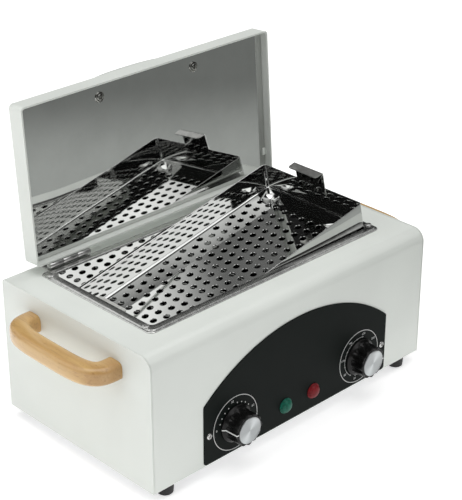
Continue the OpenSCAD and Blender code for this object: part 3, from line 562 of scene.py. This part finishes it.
def perforated(outline, rings):
    """A flat plate between an outline and rings, as triangles that use only their points."""
    loops = [outline] + list(rings)
    edges, start = [], 0
    for loop in loops:
        n = len(loop)
        edges += [(start + i, start + (i + 1) % n) for i in range(n)]
        start += n
    found = delaunay_2d_cdt([Vector(p) for p in np.concatenate(loops)], edges, [], 1, 0.0001)
    flat = np.array([tuple(v) for v in found[0]])
    faces = np.array(found[2])
    middle = flat[faces].mean(axis=1)
    keep = np.ones(len(faces), bool)
    for ring in rings:
        centre = ring.mean(axis=0)
        keep &= np.linalg.norm(middle - centre, axis=1) > np.linalg.norm(ring[0] - centre) * 0.99
    return flat, faces[keep].tolist()


# Screws

SCREW_HEAD_H = 1.4
CUP_WASHER_H = 2.1
CUP_HEAD_H = 1.2
CUP_HEAD_SHARE = 0.62
RIM_SCREW_R = 3.2
HINGE_SCREW_PITCH = 26


def screw_head(radius, height, turn, rows=22, count=64):
    """A pan head with a cross recess: a flat dome, lowered where either bar of the cross lies."""
    share = np.linspace(1, 0.03, rows)[:, None]
    a = np.arange(count) * 2 * math.pi / count
    u = share * np.cos(a + math.radians(turn))
    v = share * np.sin(a + math.radians(turn))
    bar, reach = 0.19, 0.66

    def inside(across, along):
        sides = np.clip((bar - np.abs(across)) / 0.07 + 0.5, 0, 1)
        return sides * np.clip((reach - np.abs(along)) / 0.12, 0, 1)

    cut = np.maximum(inside(u, v), inside(v, u))
    dome = height * (0.35 + 0.65 * np.sqrt(np.clip(1 - share ** 2.4, 0, 1)))
    sunk = dome - 0.85 * height * cut
    top = np.stack([radius * share * np.cos(a), radius * share * np.sin(a), sunk], axis=-1)
    foot = np.stack([radius * np.cos(a), radius * np.sin(a), 0 * a], axis=-1)[None]
    return np.concatenate([foot, top])


def row_radius(low, high):
    """The radius of screws that stand in one row along X, from their box."""
    return (high[1] - low[1]) / 2


def cup_washer(radius):
    """A rounded cup washer with a low seat for the screw's head."""
    return revolve([
        (0.2, -0.5), (radius, -0.5), (radius, 0.15), *arc((radius - 0.7, 0.25), 0.7, 0, 80),
        (radius * 0.7, 1.1), (radius * 0.64, 0.7), (0.2, 0.6),
    ])


def add_screws(name, body, place, node, radius=None, places=None, cup=False, finish=None):
    """Screw heads in the corners of a node's box, each turned its own way, or in cup washers."""
    low, high = place.box(node)
    radius = radius or row_radius(low, high)
    if places is None:
        xs = sorted({round(low[0] + radius, 2), round(high[0] - radius, 2)})
        ys = sorted({round(low[1] + radius, 2), round(high[1] - radius, 2)})
        places = [(x, y) for x in xs for y in ys]
    base = high[2] - (CUP_WASHER_H if cup else SCREW_HEAD_H)
    shape = Shape(place)
    for i, (x, y) in enumerate(places):
        spot = place.moved((x, y, base))
        turn = 17 + 31 * i
        if cup:
            shape.grid(cup_washer(radius), ends=True, place=spot)
            head = screw_head(CUP_HEAD_SHARE * radius, CUP_HEAD_H, turn) + (0, 0, CUP_HEAD_H / 2)
        else:
            head = screw_head(radius, SCREW_HEAD_H, turn)
        shape.grid(head, ends=True, place=spot)
    shape.make(name, body, "screw_steel", finish, replaces=[node], crease=30)


def add_hinge_screws():
    """Two screws in each of the two fixed leaves, in one row."""
    low, high = BENCH.box("hinge_leaf_screws")
    radius = row_radius(low, high)
    far = high[0] - radius
    near = far - HINGE_SCREW_PITCH
    places = [(x, low[1] + radius) for x in (-far, -near, near, far)]
    add_screws("hinge_screw_heads", "housing", BENCH, "hinge_leaf_screws", places=places)


add_screws("rim_screw_heads", "housing", BENCH, "rim_screws", RIM_SCREW_R)
add_screws("panel_screw_heads", "housing", FRONT, "control_panel_screws")
add_screws("inlet_screw_heads", "housing", BACK, "inlet_screws")
add_screws("lid_cup_screws", "lid", LID_FACE, "lid_handle_screws", cup=True, finish=shade_darkened_nickel)
add_hinge_screws()


# Rim of the chamber

RIM_W = 9.0
RIM_STEP_W = 2.0
RIM_STEP_H = 1.0
RIM_CORNER_R = 6.0


def add_rim():
    """The stepped rim: a rounded profile carried round the chamber's mouth."""
    low, high = BENCH.box("rim_frame")
    top, step, base = high[2], high[2] - RIM_STEP_H, low[2]
    profile = np.array([
        (RIM_W, base), (RIM_W, top - 0.9), *arc((RIM_W - 0.9, top - 0.9), 0.9, 0, 90),
        *arc((RIM_STEP_W + 0.6, top - 0.6), 0.6, 90, 180), (RIM_STEP_W, step + 0.3),
        *arc((RIM_STEP_W - 0.3, step + 0.3), 0.3, 0, -90, 3),
        *arc((0.7, step - 0.7), 0.7, 90, 180), (0.0, base),
    ])
    radius = RIM_CORNER_R - profile[:, 0] / RIM_W
    shape = Shape(BENCH.moved(((low[0] + high[0]) / 2, (low[1] + high[1]) / 2, 0)))
    loops = swept_loop(high[0] - low[0], high[1] - low[1], np.column_stack([profile, radius]), 12)
    shape.grid(loops, closed_rows=True)
    shape.make("chamber_rim", "housing", "mirror_steel", trim_steel, ["rim_frame"], crease=50)


add_rim()


# Tray

HOLE_R = 3.1
HOLE_PITCH = 11.05
HOLE_COLUMNS = 20
HOLE_ROWS = 11
HOLE_SIDES = 24
HOLE_LIP = 0.3
DIMPLE_R = 8.0
DIMPLE_DEEP = 3.2
DIMPLE_SIDES = 48
DIMPLE_ROWS = 12
DIMPLE_IN_X = 14.5
DIMPLE_IN_Y = 18.5
SHEET = 0.8
TRAY_BEND = 1.7
TRAY_CORNER_R = 4.0
TAB_LIP = 10.5
TAB_BEND = 1.6
TAB_CORNER_R = 3.0


def hole_centres():
    """The staggered holes: every second column is moved by half a pitch and has a hole less."""
    found = []
    for i in range(HOLE_COLUMNS):
        shift = i % 2
        for j in range(HOLE_ROWS - shift):
            found.append((i - (HOLE_COLUMNS - 1) / 2, j + shift / 2 - (HOLE_ROWS - 1) / 2))
    return np.array(found) * HOLE_PITCH


def add_tray():
    """The pressed tray: walls and bends swept round it, a plate with its holes, and four pressed feet."""
    low, high = TRAY.box("tray")
    width, depth = high[0] - low[0], high[1] - low[1]
    plate = low[2] + DIMPLE_DEEP
    wall = high[2] - plate
    middle = TRAY.moved(((low[0] + high[0]) / 2, (low[1] + high[1]) / 2, plate))
    outer = TRAY_BEND + SHEET
    profile = np.concatenate([
        arc((outer, outer), TRAY_BEND, 270, 180),
        arc((SHEET / 2, wall - SHEET / 2), SHEET / 2, 0, 180, 7),
        arc((outer, outer), outer, 180, 270),
    ])
    shape = Shape(middle)
    shape.grid(swept_loop(width, depth, np.column_stack([profile, TRAY_CORNER_R - profile[:, 0]])))

    holes = hole_centres()
    foot_x, foot_y = width / 2 - DIMPLE_IN_X, depth / 2 - DIMPLE_IN_Y
    feet = [(x * foot_x, y * foot_y) for x in (-1, 1) for y in (-1, 1)]
    bowls = circles(feet, DIMPLE_R, DIMPLE_SIDES)
    outline = round_loop(width - 2 * outer, depth - 2 * outer, TRAY_CORNER_R - outer)
    for height, radius in ((SHEET, HOLE_R + HOLE_LIP), (0.0, HOLE_R)):
        flat, faces = perforated(outline, [*circles(holes, radius, HOLE_SIDES), *bowls])
        shape.add(flat_at(flat, height), faces)
    levels = [
        (HOLE_R + HOLE_LIP, SHEET), (HOLE_R + 0.08, SHEET - 0.22), (HOLE_R, SHEET - 0.45), (HOLE_R, 0.0),
    ]
    tubes = np.stack([flat_at(circles(holes, r, HOLE_SIDES), h) for r, h in levels], axis=1)
    for tube in tubes:
        shape.grid(tube)

    share = np.linspace(1, 0, DIMPLE_ROWS)
    sag = DIMPLE_DEEP * (1 - share ** 2)
    radius = DIMPLE_R * (0.02 + 0.98 * share)
    bottom = list(range((DIMPLE_ROWS - 1) * DIMPLE_SIDES, DIMPLE_ROWS * DIMPLE_SIDES))
    for x, y in feet:
        spot = middle.moved((x, y, 0))
        for height in (SHEET, 0.0):
            bowl = revolve(np.stack([radius, height - sag], axis=-1), DIMPLE_SIDES)
            faces = grid_faces(DIMPLE_ROWS, DIMPLE_SIDES, False, True).tolist()
            shape.add(bowl, faces + [bottom], spot)
    shape.make("perforated_tray", "tray", "tray_steel", replaces=["tray"], crease=32)


def add_tray_tabs():
    """Lifting tabs: a strip up the end wall, bent inwards, its corners rounded, given its thickness."""
    low, high = TRAY.box("tray_tabs")
    middle, half = (high[1] + low[1]) / 2, (high[1] - low[1]) / 2
    rise = high[2] - low[2] - TAB_BEND
    lip = TAB_LIP - TAB_BEND
    share = 1 - (1 - np.linspace(0.1, 1, 12)) ** 1.6
    plates, lips = Shape(TRAY), Shape(TRAY)
    for side, edge in ((-1, low[0]), (1, high[0])):
        strip = np.concatenate([
            [(edge, low[2]), (edge, low[2] + rise / 2)],
            arc((edge - side * TAB_BEND, low[2] + rise), TAB_BEND, 90 - side * 90, 90, 8),
            np.stack([edge - side * (TAB_BEND + lip * share), np.full(12, high[2])], axis=-1),
        ])
        slope = np.gradient(strip, axis=0)
        slope /= np.linalg.norm(slope, axis=1)[:, None]
        under = strip + np.stack([-slope[:, 1], slope[:, 0]], axis=-1) * side * SHEET
        left = np.zeros(len(strip))
        left[-12:] = np.clip(1 - lip * (1 - share) / TAB_CORNER_R, 0, 1)
        drawn = TAB_CORNER_R * (1 - np.sqrt(1 - left ** 2))
        y = middle + (half - drawn)[:, None] * np.linspace(-1, 1, 13)
        layers = [np.stack([line[:, :1] + 0 * y, y, line[:, 1:] + 0 * y], axis=-1) for line in (strip, under)]
        grid = np.concatenate([layers[0], layers[1][:, ::-1]], axis=1)
        plates.grid(grid[:8], ends=True)
        lips.grid(grid[7:], ends=True)
    plates.make("lifting_tabs", "tray", "tray_steel", replaces=["tray_tabs"], crease=40)
    lips.make("lifting_tab_lips", "tray", "tray_steel", satin_steel, crease=40)


add_tray()
add_tray_tabs()


# Handles

SIDE_HANDLE_T = 18.5
LID_HANDLE_T = 8.0


def add_side_handles():
    """The wooden bows: a squarish oval swept along a squarish half oval from foot to foot."""
    for side, node in ((-1, "side_handle_left"), (1, "side_handle_right")):
        low, high = BENCH.box(node)
        out, length, height = high - low
        wall = low[0] if side > 0 else high[0]
        foot = (wall, (low[1] + high[1]) / 2, (low[2] + high[2]) / 2)
        path, normals = bow_path((length - SIDE_HANDLE_T) / 2, out - SIDE_HANDLE_T / 2, 0.5)
        shape = Shape(Place(foot, (0, -side, 0), (0, 0, 1)))
        shape.grid(swept_bar(path, normals, height, SIDE_HANDLE_T), ends=True)
        shape.make(node + "_bow", "housing", "varnished_wood", replaces=[node], crease=50)


def add_lid_handle():
    """The white bow on the lid's outside."""
    low, high = LID.box("lid_handle")
    length, width, out = high - low
    path, normals = bow_path((length - LID_HANDLE_T) / 2, out - LID_HANDLE_T / 2, 0.8)
    foot = LID.world((0, (low[1] + high[1]) / 2, low[2]))
    shape = Shape(Place(foot, (1, 0, 0), -LID.axes[1]))
    shape.grid(swept_bar(path, normals, width, LID_HANDLE_T), ends=True)
    shape.make("lid_pull", "lid", "white_plastic", replaces=["lid_handle"], crease=50)


add_side_handles()
add_lid_handle()


# Panel, lamps and dials

PANEL_T = 1.0
PANEL_SIDE_H = 58.5
PANEL_CORNER_R = 3.0
PANEL_HOLE_R = 4.5
RING_R = 26.0
DOT_R = 19.3
LABEL_R = 22.4
RING_W = 0.6
SCALE_W = 0.35
DOT_MARK_R = 0.62
INK_H = 0.05
INK_SUNK = 0.02
NUMERAL_H = 3.1
TIMER_POINTS_AT = 178
THERMOSTAT_POINTS_AT = -3
LENS_COLLAR_H = 1.2
SKIRT_H = 3.2
GRIP_R = 15.5
GRIP_HOLLOWS = 12
HOLLOW_DEEP = 1.3
KNOB_SIDES = 240
CAP_SEAT_R = 12.7


def panel_outline(width, height, inset):
    """Straight sides, a flat foot and an arched top, with every corner rounded, drawn in by inset."""
    sag = height - PANEL_SIDE_H
    radius = (width * width / 4 + sag * sag) / (2 * sag)
    centre = height - radius
    x = width / 2 - PANEL_CORNER_R
    reach = math.acos(x / (radius - PANEL_CORNER_R))
    z = centre + (radius - PANEL_CORNER_R) * math.sin(reach)
    corner = PANEL_CORNER_R - inset
    turn = math.degrees(reach)
    return np.concatenate([
        arc((x, PANEL_CORNER_R), corner, 270, 360), arc((x, z), corner, 0, turn),
        arc((0, centre), radius - inset, turn, 180 - turn, 62)[1:-1],
        arc((-x, z), corner, 180 - turn, 180), arc((-x, PANEL_CORNER_R), corner, 180, 270),
    ])


def add_panel():
    """The black plate: a small round on its front edge, and holes for the shafts and the lamps."""
    low, high = FRONT.box("control_panel")
    width, height = high[0] - low[0], high[1] - low[1]
    middle = (low[0] + high[0]) / 2
    place = FRONT.moved((middle, low[1], 0))
    holes = []
    for node in ("timer_shaft", "thermostat_shaft", "green_lens", "red_lens"):
        hole_low, hole_high = place.box(node)
        holes.append(((hole_low[0] + hole_high[0]) / 2, (hole_low[1] + hole_high[1]) / 2))
    rings = circles(holes, PANEL_HOLE_R, 32)
    levels = ((0.0, 0.0), (0.0, PANEL_T - 0.35), (0.1, PANEL_T - 0.1), (0.35, PANEL_T))
    loops = [flat_at(panel_outline(width, height, inset), z) for inset, z in levels]
    shape = Shape(place)
    shape.grid(np.stack(loops))
    for loop in (loops[0], loops[-1]):
        flat, faces = perforated(loop[:, :2], rings)
        shape.add(flat_at(flat, loop[0, 2]), faces)
    for ring in rings:
        shape.grid(np.stack([flat_at(ring, 0.0), flat_at(ring, PANEL_T)]))
    shape.make("front_plate", "housing", "black_panel", replaces=["control_panel"], crease=20)


def add_lens(node):
    """A moulded lamp lens: a low collar and a dome cut in twelve flats."""
    low, high = FRONT.box(node)
    radius, collar = (high[0] - low[0]) / 2, PANEL_T + LENS_COLLAR_H
    rise = high[2] - collar
    shape = Shape(FRONT.moved(((low[0] + high[0]) / 2, (low[1] + high[1]) / 2, 0)))
    shape.grid(revolve([
        (PANEL_HOLE_R - 0.02, low[2]), (PANEL_HOLE_R - 0.02, PANEL_T), (radius - 0.2, PANEL_T),
        (radius, PANEL_T + 0.3), (radius, collar - 0.3), (radius - 0.3, collar),
        (radius - 0.9, collar + 0.05),
    ], 48), ends=True)
    a = np.radians(np.linspace(-8, 84, 7))
    dome = np.stack([(radius - 0.8) * np.cos(a), collar + rise * np.sin(a)], axis=-1)
    shape.grid(revolve(dome, 12), ends=True)
    shape.make(node + "_dome", "housing", node, replaces=[node], crease=14)


def dial_place(joint):
    return joint_place(joint, (1, 0, 0), (0, -1, 0))


def knob_profile(skirt_r, base, top):
    """A knob's radius and height, from its back round the skirt and the grip to the cap's seat."""
    step = base + SKIRT_H
    return np.array([
        (2.9, base), (skirt_r - 0.4, base), (skirt_r, base + 0.4), (skirt_r, base + 1.0),
        *arc((skirt_r - 1.2, base + 1.0), 1.2, 15, 75, 4), (GRIP_R + 0.9, step - 0.15),
        (GRIP_R + 0.25, step + 0.15), (GRIP_R, step + 0.8), (GRIP_R - 0.15, (step + top) / 2),
        *arc((GRIP_R - 1.1, top - 0.8), 0.8, 0, 90, 6),
        (CAP_SEAT_R, top), (CAP_SEAT_R, top - 0.3), (0.5, top - 0.3),
    ])


def add_knob(name, joint, node, points_at):
    """A skirted knob with finger hollows, GRIP_R less a power of a cosine deep, and its pointer."""
    place = dial_place(joint)
    body = joint.replace("turn", "dial")
    low, high = place.box(node)
    profile = knob_profile(high[0], low[2], high[2])
    a = np.arange(KNOB_SIDES) * 2 * math.pi / KNOB_SIDES
    hollow = HOLLOW_DEEP * (0.5 - 0.5 * np.cos(GRIP_HOLLOWS * a)) ** 1.4
    height, radius = profile[:, 1:], profile[:, :1]
    above = np.clip((height - low[2] - SKIRT_H + 0.3) / 1.4, 0, 1)
    share = above * np.clip((radius - CAP_SEAT_R) / 0.8, 0, 1)
    grid = revolve(profile, KNOB_SIDES)
    grid[..., :2] *= (1 - share * hollow / radius)[..., None]
    shape = Shape(place)
    shape.grid(grid, ends=True)
    shape.make(name, body, "black_plastic", replaces=[node], crease=45)
    add_pointer(name + "_pointer", body, place, profile, points_at)


def add_pointer(name, body, place, profile, points_at):
    """A painted line that follows the knob from the skirt's edge to the cap, a little proud of it."""
    lift, ink, half = 0.06, 0.4, 0.55
    turn = math.radians(points_at)
    out = np.array((math.cos(turn), math.sin(turn), 0))
    side = np.array((-math.sin(turn), math.cos(turn), 0))
    run = profile[3:-2]
    slope = np.gradient(run, axis=0)
    slope /= np.linalg.norm(slope, axis=1)[:, None]
    normal = np.stack([slope[:, 1], -slope[:, 0]], axis=-1)
    lines = []
    for depth, reach in ((lift, -half), (lift, half), (-ink, half), (-ink, -half)):
        line = run + normal * depth
        lines.append(line[:, :1] * out + line[:, 1:] * (0, 0, 1) + reach * side)
    shape = Shape(place)
    shape.grid(np.stack(lines, axis=1), ends=True)
    shape.make(name, body, "white_plastic", pointer_white, crease=30)


def add_cap(name, joint, node):
    """A spun cap: a bright rounded edge, a shallow groove and a face that is a little dished."""
    place = dial_place(joint)
    low, high = place.box(node)
    radius, base, top = high[0], low[2], high[2]
    r = np.linspace(1, 0.01, 30)
    face = np.stack([(radius - 1.3) * r, top - 0.12 - 0.12 * (1 - r ** 2)], axis=-1)
    profile = [
        (radius, base - 0.2), (radius, top - 0.5), *arc((radius - 0.5, top - 0.5), 0.5, 10, 90, 5),
        (radius - 1.0, top - 0.02), (radius - 1.15, top - 0.2), *face,
    ]
    shape = Shape(place)
    shape.grid(revolve(profile, 128), ends=True)
    shape.make(name, joint.replace("turn", "dial"), "spun_aluminium", replaces=[node], crease=40)


def ink_band(shape, radius, width, start=0.0, end=360.0, count=160):
    """A printed ring or arc: a thin rectangle of ink carried round the dial."""
    closed = end - start >= 360
    a = np.radians(np.linspace(start, end, count, endpoint=not closed))
    inner, outer = radius - width / 2, radius + width / 2
    section = ((inner, -INK_SUNK), (inner, INK_H), (outer, INK_H), (outer, -INK_SUNK))
    lines = [np.stack([r * np.cos(a), r * np.sin(a), h + 0 * a], axis=-1) for r, h in section]
    shape.grid(np.stack(lines, axis=1), closed_rows=closed, ends=not closed)


def ink_words(shape, words, x, y, size):
    """Plain numerals as a thin mesh, upright and centred on a point of the dial."""
    curve = bpy.data.curves.new("numeral", "FONT")
    curve.body = words
    curve.size = size
    curve.align_x = "CENTER"
    curve.align_y = "CENTER"
    curve.extrude = 0.03
    curve.resolution_u = 3
    text = bpy.data.objects.new("numeral", curve)
    mesh = bpy.data.meshes.new_from_object(text)
    points = np.array([tuple(v.co) for v in mesh.vertices]) + (x, y, INK_SUNK)
    shape.add(points, [list(p.vertices) for p in mesh.polygons])
    bpy.data.objects.remove(text)
    bpy.data.meshes.remove(mesh)


def add_dial_print(name, joint, marks, numerals, line=None):
    """The white print round a knob: a ring, a line or none, a dot at each mark and plain numerals."""
    low, high = FRONT.box(joint.replace("turn", "knob"))
    place = FRONT.moved(((low[0] + high[0]) / 2, (low[1] + high[1]) / 2, PANEL_T))
    shape = Shape(place)
    ink_band(shape, RING_R, RING_W)
    if line:
        ink_band(shape, DOT_R, SCALE_W, *line, count=60)
    for angle in marks:
        x, y = arc((0, 0), DOT_R, angle, angle, 1)[0]
        spot = place.moved((x, y, 0))
        dot = revolve([(DOT_MARK_R, -INK_SUNK), (DOT_MARK_R, INK_H), (0.05, INK_H)], 16)
        shape.grid(dot, ends=True, place=spot)
    for angle, words in numerals:
        x, y = arc((0, 0), LABEL_R, angle, angle, 1)[0]
        ink_words(shape, words, x, y, NUMERAL_H)
    shape.make(name, "housing", "white_plastic", print_white, crease=30)


add_panel()
add_lens("green_lens")
add_lens("red_lens")
add_knob("timer_grip", "timer_turn", "timer_knob", TIMER_POINTS_AT)
add_knob("thermostat_grip", "thermostat_turn", "thermostat_knob", THERMOSTAT_POINTS_AT)
add_cap("timer_cap", "timer_turn", "timer_knob_cap")
add_cap("thermostat_cap", "thermostat_turn", "thermostat_knob_cap")
add_dial_print(
    "timer_print", "timer_turn", np.delete(np.linspace(TIMER_POINTS_AT, -57, 16), (0, 5, 10, 15)),
    [(TIMER_POINTS_AT, "0"), (100, "30"), (21, "60"), (-57, "90")],
)
add_dial_print(
    "thermostat_print", "thermostat_turn", (12, 76, 100, 124, 147, 171, 193, 214, 236, 258),
    [(258, "50"), (214, "80"), (171, "110"), (124, "140"), (76, "170"), (31, "200")],
    line=(76, 236),
)


# Finishes and soft edges of the nodes that stay

for row in frame["record"]["subparts"]:
    mesh = nodes[row["node"]].data
    mesh.materials.clear()
    mesh.materials.append(finishes[row["material_slot"]])


def soften(node, width):
    """Breaks the sharp edges of a node: its loose triangles are joined first, then bevelled."""
    piece = nodes[node]
    weld = piece.modifiers.new("weld", "WELD")
    weld.merge_threshold = 0.002 * MM
    bevel = piece.modifiers.new("bevel", "BEVEL")
    bevel.width = width * MM
    bevel.segments = 2
    bevel.limit_method = "ANGLE"
    bevel.angle_limit = math.radians(40)
    bevel.harden_normals = True


# The width of each softened node's broken edges.
SOFT_EDGES = {
    "lid_shell": 0.5, "side_panel_left": 0.35, "side_panel_right": 0.35, "housing_wrap": 0.25,
    "base_plate": 0.2, "liner_tabs": 0.2, "power_inlet": 0.3, "hinge_fixed_leaves": 0.2,
    "hinge_lid_leaves": 0.2, "terminal_block": 0.3, "timer": 0.5, "thermostat": 0.5,
}
for node, width in SOFT_EDGES.items():
    soften(node, width)


# Stage and light

FLOOR_REACH_M = 12.0


def add_floor():
    """One square of studio paper, far larger than the view."""
    corners = [(x * FLOOR_REACH_M, y * FLOOR_REACH_M, 0) for x, y in ((-1, -1), (1, -1), (1, 1), (-1, 1))]
    mesh = bpy.data.meshes.new("floor")
    mesh.from_pydata(corners, [], [(0, 1, 2, 3)])
    mesh.materials.append(studio_paper("floor"))
    floor = bpy.data.objects.new("floor", mesh)
    bpy.context.scene.collection.objects.link(floor)


# Compass angle, height angle, half width, half height, the softness of both, brightness.
SOFT_BOXES = (
    (8, 42, 23, 24, 3, 8, 1.75),
    (-108, 38, 34, 28, 8, 10, 1.25),
    (88, 45, 30, 22, 10, 10, 0.8),
    (200, 40, 28, 25, 8, 10, 0.8),
    (45, 45, 22, 12, 10, 6, 0.28),
)
CEILING = 2.2
DARK_ROOM = 0.02


def add_studio():
    """Soft boxes round the object, as bright patches of sky with soft edges.

    A patch is a window in compass angle times a window in height angle, each a smooth step down
    from its middle: 1 - step(|angle - middle|, half - soft, half + soft).
    """
    world = bpy.data.worlds.new("studio")
    t = Tree(world)
    x, y, z = t.split(t.node("ShaderNodeTexCoord", out=0))
    azimuth = x.math("ARCTAN2", -1.0 * y)
    elevation = z.math("ARCSINE")

    def window(angle, middle, half, soft):
        apart = (angle - math.radians(middle)).math("WRAP", math.pi, -math.pi).math("ABSOLUTE")
        return 1 - apart.step(math.radians(half - soft), math.radians(half + soft))

    light = DARK_ROOM + CEILING * elevation.step(math.radians(58), math.radians(72))
    for a, e, half_a, half_e, soft_a, soft_e, power in SOFT_BOXES:
        light = light + power * window(azimuth, a, half_a, soft_a) * window(elevation, e, half_e, soft_e)
    shade = t.node("ShaderNodeBackground", None, {"Color": (1.0, 1.0, 1.0), "Strength": light})
    t.end("ShaderNodeOutputWorld", "Surface", shade.socket)
    bpy.context.scene.world = world


add_camera()
add_floor()
add_studio()
bpy.context.scene.view_settings.view_transform = "Standard"
